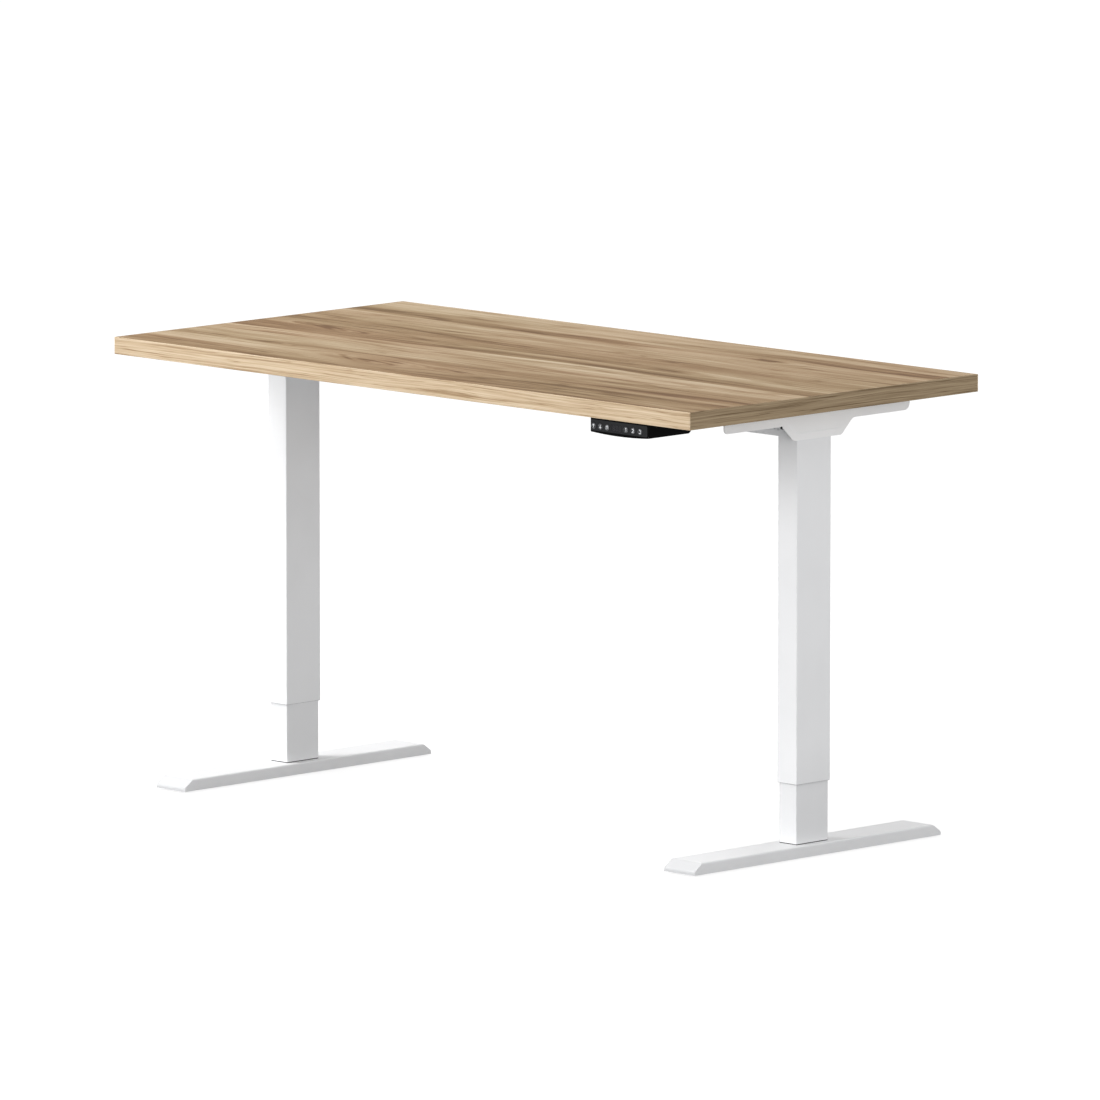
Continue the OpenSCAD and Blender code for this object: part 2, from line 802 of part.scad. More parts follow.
module handset_shell() {
    difference() {
        handset_solid(0);
        handset_solid(handset_wall);
        handset_window();
        translate([530, handset_y + handset_d - 5, under_z - 12]) rotate([-90, 0, 0])
            cylinder(h = 8, r = handset_lead_r + 0.2);
    }
}

module handset_face() {
    difference() {
        translate([handset_x, handset_y, under_z - 2.6 - face_h / 2])
            along_y(0, face_t) rounded_rectangle(handset_w - 4, face_h, 2.5);
        for (i = [0 : len(button_places) - 1])
            translate([button_x(i), handset_y - 1, button_z]) rotate([-90, 0, 0])
                cylinder(h = 5, r = button_d / 2 + button_gap);
        translate([handset_x - handset_w / 2 + display_place, handset_y, button_z])
            along_y(-1, face_t + 1) rounded_rectangle(display_w, display_h, 1.5);
    }
}

module handset_display() {
    translate([handset_x - handset_w / 2 + display_place, handset_y, button_z])
        along_y(0.2, face_t) rounded_rectangle(display_w, display_h, 1.5);
}

// Round cap with a wider collar behind the face, which keeps it in.
module push_button(i) {
    color(black_plastic) translate([button_x(i), handset_y, button_z]) rotate([-90, 0, 0]) {
        rod(button_d / 2, -button_proud, face_t + running_gap);
        rod(button_d / 2 + 1, face_t + running_gap, face_t + 2);
    }
}

// ---------------------------------------------------------------- nodes

color(steel_white) at_column(left) foot();  // left_foot
color(steel_white) at_column(right) foot();  // right_foot
color(bare_steel) at_column(left) pad_brackets();  // left_pad_brackets
color(bare_steel) at_column(right) pad_brackets();  // right_pad_brackets
color(bare_steel) at_column(left) foot_bolts();  // left_foot_bolts
color(bare_steel) at_column(right) foot_bolts();  // right_foot_bolts
color(bare_steel) at_column(left) tube_base();  // left_tube_base
color(bare_steel) at_column(right) tube_base();  // right_tube_base
color(steel_white) at_column(left) lower_tube();  // left_lower_tube
color(steel_white) at_column(right) lower_tube();  // right_lower_tube
color(white_plastic) at_column(left) spindle_nut();  // left_spindle_nut
color(white_plastic) at_column(right) spindle_nut();  // right_spindle_nut
color(white_plastic) at_column(left) upper_glide();  // left_upper_glide
color(white_plastic) at_column(right) upper_glide();  // right_upper_glide
levelling_pad(left, -1);  // left_front_pad
levelling_pad(left, 1);  // left_back_pad
levelling_pad(right, -1);  // right_front_pad
levelling_pad(right, 1);  // right_back_pad
color("Tan") desktop_core();
color("BurlyWood") laminate_sheets();
color("Wheat") long_edge_band(-1);  // front_edge_band
color("Wheat") long_edge_band(1);  // back_edge_band
color("Wheat") side_edge_bands();
color(steel_white) at_column(left) side_bracket();  // left_side_bracket
color(steel_white) at_column(right) side_bracket();  // right_side_bracket
color(steel_white) cross_rail(-1);  // front_rail
color(steel_white) cross_rail(1);  // back_rail
color(black_plastic) rail_end_caps();
color(steel_white) at_column(left) upper_tube();  // left_upper_tube
color(steel_white) at_column(right) upper_tube();  // right_upper_tube
color(white_plastic) both_columns() tube_liner();  // tube_liners
color(bare_steel) both_columns() head_plate();  // head_plates
color(steel_white) at_column(left) motor_housing();  // left_motor_housing
color(steel_white) at_column(right) motor_housing();  // right_motor_housing
color("Gray") both_columns() gearbox();  // gearboxes
color(bare_steel) both_columns() spindle_bearing();  // spindle_bearings
color("DimGray") both_columns() motor();  // motors
color(bare_steel) at_column(left) spindle();  // left_spindle
color(bare_steel) at_column(right) spindle();  // right_spindle
color("Goldenrod") at_column(left) worm_wheel();  // left_worm_wheel
color("Goldenrod") at_column(right) worm_wheel();  // right_worm_wheel
color(bare_steel) at_column(left) motor_rotor();  // left_motor_rotor
color(bare_steel) at_column(right) motor_rotor();  // right_motor_rotor
color(black_plastic) control_box();
color(black_plastic) control_box_lid();
color("DarkGreen") control_board();
color("DimGray") mains_inlet();
color(black_plastic) handset_shell();
color([0.13, 0.13, 0.14]) handset_face();
color([0.02, 0.02, 0.03]) handset_display();
push_button(0);  // up_button
push_button(1);  // down_button
push_button(2);  // memory_button
push_button(3);  // preset_1_button
push_button(4);  // preset_2_button
push_button(5);  // preset_3_button
color(black_plastic) cable_leads();
color(white_plastic) cable_clips();
color(bare_steel) desktop_screws();
color(bare_steel) rail_bolts();
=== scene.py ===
"""Looks of the electric height-adjustable desk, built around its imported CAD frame."""

import json
import math

import bmesh
import bpy
from mathutils import Matrix, Vector
from mathutils.geometry import interpolate_bezier


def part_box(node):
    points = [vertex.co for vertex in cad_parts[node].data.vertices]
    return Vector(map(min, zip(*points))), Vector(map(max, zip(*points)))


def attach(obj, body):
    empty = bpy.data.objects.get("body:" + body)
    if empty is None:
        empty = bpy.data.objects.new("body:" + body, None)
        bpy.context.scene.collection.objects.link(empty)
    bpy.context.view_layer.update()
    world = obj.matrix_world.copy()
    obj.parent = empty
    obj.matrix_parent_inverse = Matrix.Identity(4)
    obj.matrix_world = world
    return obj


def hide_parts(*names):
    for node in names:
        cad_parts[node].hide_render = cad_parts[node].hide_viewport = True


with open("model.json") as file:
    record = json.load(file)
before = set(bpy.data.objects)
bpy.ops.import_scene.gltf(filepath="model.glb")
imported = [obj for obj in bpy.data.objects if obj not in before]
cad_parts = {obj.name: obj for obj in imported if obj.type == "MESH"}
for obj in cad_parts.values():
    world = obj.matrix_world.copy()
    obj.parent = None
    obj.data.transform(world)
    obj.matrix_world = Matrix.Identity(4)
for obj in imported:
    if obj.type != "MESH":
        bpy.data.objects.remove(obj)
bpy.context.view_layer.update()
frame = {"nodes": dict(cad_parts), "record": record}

MM = 0.001
NODES = frame["nodes"]
SIDES = ("left", "right")


# ---------------------------------------------------------------- camera, floor and light

def make_camera():
    """A long lens that looks slightly down at the desk's front right corner, as in the photograph."""
    azimuth = math.radians(45.05)
    elevation = math.radians(8.224)
    distance = 24.161
    aside = 0.0139
    look_at = Vector((aside * math.cos(azimuth), aside * math.sin(azimuth), 0.4589))
    back = Vector((
        math.cos(elevation) * math.sin(azimuth),
        -math.cos(elevation) * math.cos(azimuth),
        math.sin(elevation),
    ))
    lens = bpy.data.cameras.new("camera")
    lens.sensor_width = 36
    lens.lens = 459.3
    lens.clip_start = 0.1
    lens.clip_end = 200
    camera = bpy.data.objects.new("camera", lens)
    camera.location = look_at + distance * back
    camera.rotation_euler = (math.radians(90) - elevation, 0, azimuth)
    bpy.context.scene.collection.objects.link(camera)
    bpy.context.scene.camera = camera


def make_surface(name, corners, faces, base, glow):
    """A piece of the studio that also gives off light of its own."""
    mesh = bpy.data.meshes.new(name)
    mesh.from_pydata(corners, [], faces)
    surface = bpy.data.objects.new(name, mesh)
    bpy.context.scene.collection.objects.link(surface)
    shade = Shade(name, (base, base, base), roughness=0.9, specular=0)
    shade.set("Emission Color", (1, 1, 1, 1))
    shade.set("Emission Strength", glow)
    mesh.materials.append(shade.material)
    return surface


def level_square(half, height):
    """The corners of a level square round the origin, half its side each way."""
    return [(-half, -half, height), (half, -half, height), (half, half, height), (-half, half, height)]


def make_floor():
    """The pale floor and wall that are seen, and a darker floor that throws soft light back at the desk."""
    floor_half = 90
    wall_half = 45
    wall_bottom = -1.0
    wall_top = 40.0
    bounce_half = 2.2
    bounce_height = -0.0004
    square = [(0, 1, 2, 3)]
    floor = make_surface("studio_floor", level_square(floor_half, 0.0), square, base=0.18, glow=0.89)
    wall_corners = level_square(wall_half, wall_bottom) + level_square(wall_half, wall_top)
    wall_faces = [(k, (k + 1) % 4, 4 + (k + 1) % 4, 4 + k) for k in range(4)]
    wall = make_surface("studio_wall", wall_corners, wall_faces, base=0.0, glow=1.0)
    for seen in (floor, wall):
        seen.visible_diffuse = False
        seen.visible_glossy = False
        seen.visible_shadow = False
    bounce_corners = level_square(bounce_half, bounce_height)
    bounce = make_surface("studio_bounce", bounce_corners, square, base=0.20, glow=0.05)
    bounce.visible_camera = False
    bounce.visible_glossy = False


def aim(holder, towards):
    """Turns a lamp so that it shines from the direction towards, and puts it in the scene."""
    holder.rotation_euler = Vector(towards).to_track_quat("Z", "Y").to_euler()
    bpy.context.scene.collection.objects.link(holder)


def add_sun(name, towards, energy, softness):
    """A soft lamp, far away in the direction towards. Its softness is its width in degrees."""
    lamp = bpy.data.lights.new(name, "SUN")
    lamp.energy = energy
    lamp.angle = math.radians(softness)
    aim(bpy.data.objects.new(name, lamp), towards)


def add_softbox(name, place, energy, size):
    """A round softbox at place that faces the desk. Its energy is what it throws on the desk's middle."""
    look_at = Vector((0, 0, 0.5))
    towards = Vector(place) - look_at
    lamp = bpy.data.lights.new(name, "AREA")
    lamp.shape = "DISK"
    lamp.size = size
    lamp.energy = energy * math.pi * towards.length_squared
    holder = bpy.data.objects.new(name, lamp)
    holder.location = place
    holder.visible_camera = False
    holder.visible_glossy = False
    aim(holder, towards)


def make_light():
    """A key softbox low at the front left, one overhead, a weak lamp at the right, and a bright dome."""
    scene = bpy.context.scene
    scene.view_settings.view_transform = "Standard"
    add_softbox("key", (-10.6, -10.9, 4.3), energy=2.17, size=6.5)
    add_softbox("top", (-2.6, -1.8, 4.4), energy=1.56, size=2.6)
    add_sun("fill", (0.90, -0.42, 0.07), energy=0.88, softness=22)

    world = bpy.data.worlds.new("studio")
    world.use_nodes = True
    scene.world = world
    tree = world.node_tree
    place = tree.nodes.new("ShaderNodeTexCoord")
    split = tree.nodes.new("ShaderNodeSeparateXYZ")
    height = tree.nodes.new("ShaderNodeMapRange")
    height.inputs["From Min"].default_value = -1
    dome = tree.nodes.new("ShaderNodeValToRGB")
    levels_from_below = [(0.0, 0.42), (0.49, 0.62), (0.51, 0.56), (1.0, 0.94)]
    elements = dome.color_ramp.elements
    elements.new(0.5)
    elements.new(0.5)
    for element, (place_up, level) in zip(elements, levels_from_below):
        element.position = place_up
        element.color = (level, level, level, 1)
    tree.links.new(place.outputs["Generated"], split.inputs[0])
    tree.links.new(split.outputs["Z"], height.inputs["Value"])
    tree.links.new(height.outputs[0], dome.inputs[0])
    tree.links.new(dome.outputs[0], tree.nodes["Background"].inputs["Color"])


# ---------------------------------------------------------------- materials

class Shade:
    """A Principled material, with short calls for the nodes that drive it."""

    def __init__(self, name, colour, roughness, specular=0.5, metallic=0.0):
        self.material = bpy.data.materials.new(name)
        self.material.use_nodes = True
        self.tree = self.material.node_tree
        self.shader = self.tree.nodes["Principled BSDF"]
        self.set("Base Color", (*colour, 1))
        self.set("Roughness", roughness)
        self.set("Specular IOR Level", specular)
        self.set("Metallic", metallic)
        self._place = None

    def set(self, socket, value):
        self.shader.inputs[socket].default_value = value

    def drive(self, socket, source):
        self.tree.links.new(source, self.shader.inputs[socket])

    def feed(self, socket, value):
        """Links a socket to another node's output, or sets it to a value."""
        if isinstance(value, bpy.types.NodeSocket):
            self.tree.links.new(value, socket)
        else:
            socket.default_value = value

    def place(self):
        """The point on the piece, in metres, as the piece stands at rest."""
        if self._place is None:
            self._place = self.tree.nodes.new("ShaderNodeTexCoord").outputs["Object"]
        return self._place

    def axes(self):
        split = self.tree.nodes.new("ShaderNodeSeparateXYZ")
        self.feed(split.inputs[0], self.place())
        return split.outputs["X"], split.outputs["Y"], split.outputs["Z"]

    def point(self, x, y, z):
        join = self.tree.nodes.new("ShaderNodeCombineXYZ")
        for socket, value in zip(join.inputs, (x, y, z)):
            self.feed(socket, value)
        return join.outputs[0]

    def maths(self, operation, a, b=0.0, c=0.0):
        node = self.tree.nodes.new("ShaderNodeMath")
        node.operation = operation
        for socket, value in zip(node.inputs, (a, b, c)):
            self.feed(socket, value)
        return node.outputs[0]

    def falloff(self, squared, steepness=1.0):
        """1 where squared is 0, and less the greater it is."""
        return self.maths("EXPONENT", self.maths("MULTIPLY", squared, -steepness))

    def noise(self, per_metre, detail=2.0, roughness=0.5, shift=0.0, at=None):
        """Noise from 0 to 1 with that many features per metre along X, Y and Z."""
        scaled = self.tree.nodes.new("ShaderNodeMapping")
        self.feed(scaled.inputs["Vector"], at or self.place())
        scaled.inputs["Scale"].default_value = per_metre
        scaled.inputs["Location"].default_value = (shift, shift, shift)
        node = self.tree.nodes.new("ShaderNodeTexNoise")
        self.feed(node.inputs["Vector"], scaled.outputs[0])
        node.inputs["Scale"].default_value = 1.0
        node.inputs["Detail"].default_value = detail
        node.inputs["Roughness"].default_value = roughness
        return node.outputs["Fac"]

    def cells(self, per_metre):
        """Distance from the middle of small cells, that many of them per metre."""
        node = self.tree.nodes.new("ShaderNodeTexVoronoi")
        self.feed(node.inputs["Vector"], self.place())
        node.inputs["Scale"].default_value = per_metre
        return node.outputs["Distance"]

    def ramp(self, factor, stops):
        """Colours along factor. A stop is a place from 0 to 1 with a grey level or a colour."""
        node = self.tree.nodes.new("ShaderNodeValToRGB")
        self.feed(node.inputs[0], factor)
        elements = node.color_ramp.elements
        while len(elements) < len(stops):
            elements.new(1.0)
        for element, (place, value) in zip(elements, stops):
            element.position = place
            element.color = (*value, 1) if isinstance(value, tuple) else (value, value, value, 1)
        return node.outputs["Color"]

    def blend(self, factor, a, b):
        """The colour a where factor is 0 and b where it is 1. A mix node's colour sockets go by number."""
        node = self.tree.nodes.new("ShaderNodeMix")
        node.data_type = "RGBA"
        self.feed(node.inputs[0], factor)
        self.feed(node.inputs[6], a)
        self.feed(node.inputs[7], b)
        return node.outputs[2]

    def bump(self, height, distance, strength=1.0):
        """Relief in the shader, up to distance high in metres."""
        node = self.tree.nodes.new("ShaderNodeBump")
        node.inputs["Distance"].default_value = distance
        node.inputs["Strength"].default_value = strength
        self.feed(node.inputs["Height"], height)
        self.drive("Normal", node.outputs[0])


def rgb(red, green, blue):
    """A colour given from 0 to 255 as it looks on a screen, as linear light."""
    def linear(value):
        value /= 255
        return value / 12.92 if value <= 0.04045 else ((value + 0.055) / 1.055) ** 2.4
    return linear(red), linear(green), linear(blue)


# Lightness of the desktop's figure from its front edge (0) to its back edge (1): at its left end, in its
# middle and at its right end.
FIGURE = [
    [
        (0.00, 0.42), (0.09, 0.40), (0.11, 0.70), (0.17, 0.72), (0.19, 0.46), (0.21, 0.48), (0.23, 0.64),
        (0.36, 0.66), (0.395, 0.76), (0.405, 0.22), (0.45, 0.34), (0.51, 0.36), (0.53, 0.48), (0.57, 0.46),
        (0.58, 0.26), (0.63, 0.28), (0.65, 0.50), (0.73, 0.54), (0.75, 0.70), (0.795, 0.70), (0.805, 0.22),
        (0.87, 0.34), (0.885, 0.40), (0.905, 0.74), (1.00, 0.78),
    ],
    [
        (0.00, 0.34), (0.09, 0.38), (0.11, 0.50), (0.16, 0.50), (0.18, 0.38), (0.21, 0.40), (0.23, 0.58),
        (0.38, 0.62), (0.40, 0.64), (0.41, 0.88), (0.42, 0.86), (0.43, 0.24), (0.46, 0.28), (0.47, 0.40),
        (0.51, 0.40), (0.52, 0.28), (0.57, 0.32), (0.60, 0.50), (0.66, 0.58), (0.78, 0.62), (0.795, 0.28),
        (0.83, 0.30), (0.85, 0.66), (0.93, 0.70), (0.945, 0.58), (0.96, 0.70), (1.00, 0.72),
    ],
    [
        (0.00, 0.34), (0.10, 0.36), (0.115, 0.22), (0.135, 0.24), (0.15, 0.44), (0.17, 0.44), (0.18, 0.26),
        (0.22, 0.30), (0.24, 0.50), (0.29, 0.52), (0.31, 0.70), (0.40, 0.74), (0.415, 0.26), (0.44, 0.24),
        (0.48, 0.32), (0.49, 0.56), (0.56, 0.62), (0.575, 0.36), (0.64, 0.34), (0.66, 0.56), (0.85, 0.60),
        (0.865, 0.22), (0.90, 0.30), (0.92, 0.64), (1.00, 0.66),
    ],
]
# Knots in the figure: place in X and Y, half length, half height, and how far they push the grain.
KNOTS = [
    (-0.17, -0.255, 0.15, 0.034, 0.075),
    (0.06, -0.252, 0.08, 0.016, 0.030),
    (-0.53, 0.005, 0.15, 0.026, 0.050),
    (-0.22, -0.172, 0.05, 0.010, 0.016),
    (-0.43, -0.208, 0.05, 0.009, 0.014),
    (0.34, 0.224, 0.08, 0.022, 0.030),
    (0.30, 0.010, 0.13, 0.020, 0.036),
    (0.13, 0.115, 0.04, 0.010, 0.014),
]
# Single streaks: place in X and Y, half length, half height, rise per metre, and how much lighter they are.
STREAKS = [
    (-0.34, 0.075, 0.14, 0.005, -0.14, -0.32),
    (-0.10, 0.045, 0.12, 0.006, -0.06, -0.22),
    (0.52, 0.252, 0.16, 0.005, -0.05, -0.30),
    (0.33, 0.224, 0.035, 0.012, 0.0, -0.34),
    (0.30, -0.040, 0.30, 0.005, -0.05, -0.26),
    (0.05, -0.058, 0.35, 0.005, 0.01, 0.26),
    (0.34, -0.262, 0.17, 0.005, 0.03, -0.34),
    (0.50, -0.208, 0.20, 0.008, 0.05, -0.24),
    (0.16, -0.300, 0.22, 0.004, 0.04, -0.26),
    (-0.22, -0.252, 0.035, 0.005, -0.5, -0.40),
    (0.05, -0.256, 0.025, 0.004, -0.3, -0.34),
    (-0.54, 0.000, 0.05, 0.005, -0.4, -0.28),
    (0.44, -0.090, 0.22, 0.018, 0.0, 0.14),
    (0.43, 0.020, 0.08, 0.020, 0.0, 0.16),
    (-0.52, -0.255, 0.14, 0.014, 0.0, 0.14),
    (-0.10, 0.300, 0.30, 0.020, 0.0, 0.06),
]


def wood_figure():
    """The desktop's laminate: grain along X in wavy bands, with streaks, growth lines and small knots."""
    shade = Shade("wood_laminate", (0.4, 0.3, 0.2), roughness=0.55, specular=0.15)
    x, y, _ = shade.axes()
    # The bands wander across the grain by up to half of this either way, in metres.
    sway = 0.045
    wander = shade.maths("SUBTRACT", shade.noise((1.6, 4.0, 4.0), detail=2, shift=3.7), 0.5)
    across = shade.maths("MULTIPLY_ADD", wander, sway, y)

    # Each knot lies slightly askew, pushes the grain aside and has a small dark eye.
    askew = 0.35
    eye_steepness = 26.0
    eyes = 0.0
    swirl = 0.0
    for knot_x, knot_y, half_x, half_y, push in KNOTS:
        along = shade.maths("MULTIPLY", shade.maths("SUBTRACT", x, knot_x), 1 / half_x)
        beside = shade.maths("MULTIPLY", shade.maths("SUBTRACT", y, knot_y), 1 / half_y)
        lean = shade.maths("MULTIPLY_ADD", along, askew, beside)
        squared = shade.maths("MULTIPLY_ADD", lean, lean, shade.maths("MULTIPLY", along, along))
        near = shade.falloff(squared)
        pushed = shade.maths("MULTIPLY", shade.maths("MULTIPLY", lean, near), -push)
        across = shade.maths("ADD", across, pushed)
        swirl = shade.maths("ADD", swirl, near)
        eyes = shade.maths("ADD", eyes, shade.falloff(squared, eye_steepness))

    # The bands of the left end turn into those of the middle, and then into those of the right end.
    low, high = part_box("laminate_sheets")
    place_across = shade.maths("MULTIPLY_ADD", across, 1 / (high.y - low.y), 0.5)
    left, middle, right = (shade.ramp(place_across, stops) for stops in FIGURE)
    shifted = shade.maths("MULTIPLY_ADD", wander, 0.5, x)
    to_middle = shade.ramp(shade.maths("MULTIPLY_ADD", shifted, 2.6, 1.25), [(0.0, 0.0), (1.0, 1.0)])
    to_right = shade.ramp(shade.maths("MULTIPLY_ADD", shifted, 2.6, 0.10), [(0.0, 0.0), (1.0, 1.0)])
    tone = shade.blend(to_right, shade.blend(to_middle, left, middle), right)

    # Single streaks fade out along their length and to both sides.
    streak_sway = 0.03
    for streak_x, streak_y, half_x, half_y, rise, lighter in STREAKS:
        along = shade.maths("SUBTRACT", x, streak_x)
        beside = shade.maths("MULTIPLY_ADD", along, -rise, shade.maths("SUBTRACT", y, streak_y))
        beside = shade.maths("MULTIPLY_ADD", wander, streak_sway, beside)
        along = shade.maths("MULTIPLY", along, 1 / half_x)
        beside = shade.maths("MULTIPLY", beside, 1 / half_y)
        squared = shade.maths("MULTIPLY_ADD", along, along, shade.maths("MULTIPLY", beside, beside))
        near = shade.falloff(squared)
        tone = shade.maths("MULTIPLY_ADD", near, lighter, tone)

    # Streaks, ridges and lines follow the same wandering grain as the bands.
    grain_place = shade.point(x, across, 0.0)

    def add(amount, pattern, middle=0.5):
        """The tone, lighter by amount times what the pattern has above its middle."""
        return shade.maths("MULTIPLY_ADD", shade.maths("SUBTRACT", pattern, middle), amount, tone)

    tone = add(1.15, shade.noise((2.4, 38, 1), detail=4, roughness=0.6, at=grain_place))
    tone = add(0.75, shade.noise((5.0, 130, 1), detail=4, roughness=0.65, at=grain_place, shift=5.3))
    fine = shade.noise((12, 420, 1), detail=3, roughness=0.6, at=grain_place)
    tone = add(0.45, fine)
    valley = shade.noise((1.8, 26, 1), detail=2, at=grain_place, shift=12.9)
    ridge = shade.maths("ABSOLUTE", shade.maths("SUBTRACT", valley, 0.5))
    tone = add(0.26, shade.ramp(ridge, [(0.0, 0.0), (0.035, 1.0)]), 1.0)

    # Growth lines show near the knots and in patches. There is one every 12 mm, with some drift.
    radians_per_metre = 520
    drift = shade.maths("MULTIPLY", shade.noise((1.3, 9, 1), at=grain_place), 16)
    phase = shade.maths("MULTIPLY_ADD", across, radians_per_metre, drift)
    line = shade.maths("POWER", shade.maths("MAXIMUM", shade.maths("SINE", phase), 0.0), 3.0)
    patches = shade.ramp(shade.noise((1.1, 5, 1), detail=1, shift=9.1), [(0.46, 0.0), (0.60, 0.7)])
    where = shade.maths("ADD", patches, swirl)
    tone = add(-0.22, shade.maths("MULTIPLY", line, where), 0.0)
    tone = add(-0.55, eyes, 0.0)
    pores = shade.ramp(shade.noise((55, 1300, 1), detail=1), [(0.30, 0.0), (0.38, 1.0)])
    tone = add(0.16, pores, 1.0)

    # The lightness picks a colour, from a browner and a greener row that take turns over the desktop.
    tan = shade.ramp(tone, [
        (0.00, rgb(105, 75, 45)), (0.25, rgb(133, 104, 71)), (0.50, rgb(155, 129, 98)),
        (0.75, rgb(173, 150, 121)), (1.00, rgb(188, 169, 141)),
    ])
    olive = shade.ramp(tone, [
        (0.00, rgb(104, 78, 46)), (0.25, rgb(132, 107, 73)), (0.50, rgb(155, 132, 100)),
        (0.75, rgb(173, 153, 124)), (1.00, rgb(189, 172, 145)),
    ])
    tint = shade.ramp(shade.noise((1.5, 7, 1), detail=2, shift=21.3), [(0.38, 0.0), (0.64, 1.0)])
    shade.drive("Base Color", shade.blend(tint, tan, olive))
    shade.bump(shade.blend(0.5, fine, pores), 0.12 * MM, 0.6)
    return shade.material


def wood_band(name, along, dark, mid, light):
    """An edge band with streaks along X (along = 0) or along Y (along = 1)."""
    shade = Shade(name, mid, roughness=0.5, specular=0.3)
    x, y, z = shade.axes()
    length = (x, y)[along]
    across = (y, x)[along]
    wander = shade.noise((4, 1, 20), detail=2, at=shade.point(length, 0.0, z))
    sway = 0.008
    level = shade.maths("MULTIPLY_ADD", wander, sway, z)
    at = shade.point(length, across, level)
    broad = shade.noise((2.6, 10, 240), detail=2, roughness=0.5, at=at)
    streaks = shade.noise((5.5, 20, 520), detail=3, roughness=0.6, at=at, shift=7.7)
    fine = shade.noise((14, 60, 1100), detail=3, roughness=0.6, at=at)
    ridges = shade.noise((3.5, 1, 230), at=at, shift=4.4)
    valley = shade.maths("ABSOLUTE", shade.maths("SUBTRACT", ridges, 0.5))
    tone = shade.maths("MULTIPLY_ADD", shade.maths("SUBTRACT", broad, 0.5), 1.3, 0.62)
    tone = shade.maths("MULTIPLY_ADD", shade.maths("SUBTRACT", streaks, 0.5), 2.2, tone)
    tone = shade.maths("MULTIPLY_ADD", shade.maths("SUBTRACT", fine, 0.5), 0.8, tone)
    dips = shade.ramp(valley, [(0.0, 1.0), (0.03, 0.0)])
    tone = shade.maths("MULTIPLY_ADD", dips, -0.45, tone)
    shade.drive("Base Color", shade.ramp(tone, [(0.0, dark), (0.5, mid), (1.0, light)]))
    shade.bump(fine, 0.10 * MM, 0.5)
    return shade.material


def coated_steel(name, colour, grain, depth, roughness, painted_shade_ends=None):
    """White powder coat: a satin film with orange peel, grain of it per metre and depth high in millimetres.

    Where a colour for the ends is given, the faces turned along Y take it: painted shade, as though less
    light fell on them.
    """
    shade = Shade(name, colour, roughness, specular=0.35)
    peel = shade.noise((grain, grain, grain), detail=2, roughness=0.6)
    shade.bump(peel, depth * MM)
    drift = shade.noise((9, 9, 9), detail=3)
    darker = tuple(0.965 * part for part in colour)
    film = shade.ramp(drift, [(0.25, darker), (0.6, colour)])
    # Painted shade: the faces turned along Y are darkened, as though less light fell on them.
    if painted_shade_ends:
        split = shade.tree.nodes.new("ShaderNodeSeparateXYZ")
        shade.feed(split.inputs[0], shade.tree.nodes.new("ShaderNodeTexCoord").outputs["Normal"])
        painted_shade_mask = shade.maths("ABSOLUTE", split.outputs["Y"])
        film = shade.blend(shade.ramp(painted_shade_mask, [(0.15, 0.0), (0.45, 1.0)]), film, (*painted_shade_ends, 1))
    shade.drive("Base Color", film)
    return shade.material


def metal(name, colour, roughness, grain=(40, 40, 900)):
    """Bare metal with drawn or turned lines and small differences in polish."""
    shade = Shade(name, colour, roughness, metallic=1.0)
    lines = shade.noise(grain, detail=3)
    darker = tuple(0.72 * part for part in colour)
    shade.drive("Base Color", shade.ramp(lines, [(0.3, darker), (0.7, colour)]))
    shade.drive("Roughness", shade.ramp(lines, [(0.3, roughness + 0.12), (0.7, roughness)]))
    shade.bump(lines, 0.03 * MM)
    return shade.material


def plastic(name, colour, roughness, grain=1400, depth=0.03, specular=0.5):
    """Moulded plastic with a spark-eroded texture, grain of it per metre and depth high in millimetres."""
    shade = Shade(name, colour, roughness, specular=specular)
    texture = shade.cells(grain)
    shade.bump(texture, depth * MM, 0.5)
    drift = shade.noise((30, 30, 30), detail=3)
    lighter = tuple(1.25 * part for part in colour)
    shade.drive("Base Color", shade.ramp(drift, [(0.3, colour), (0.75, lighter)]))
    return shade.material


def chipboard():
    """The desktop's core: pressed wood chips."""
    shade = Shade("chipboard", rgb(178, 146, 104), roughness=0.85)
    chips = shade.cells(420)
    shade.drive("Base Color", shade.ramp(chips, [(0.0, rgb(196, 165, 120)), (0.6, rgb(140, 108, 72))]))
    shade.bump(chips, 0.4 * MM)
    return shade.material


def circuit_board():
    """Green lacquer, paler where there is copper under it."""
    shade = Shade("circuit_board", rgb(24, 84, 52), roughness=0.4)
    tracks = shade.cells(260)
    shade.drive("Base Color", shade.ramp(tracks, [(0.30, rgb(20, 76, 46)), (0.36, rgb(60, 120, 74))]))
    return shade.material


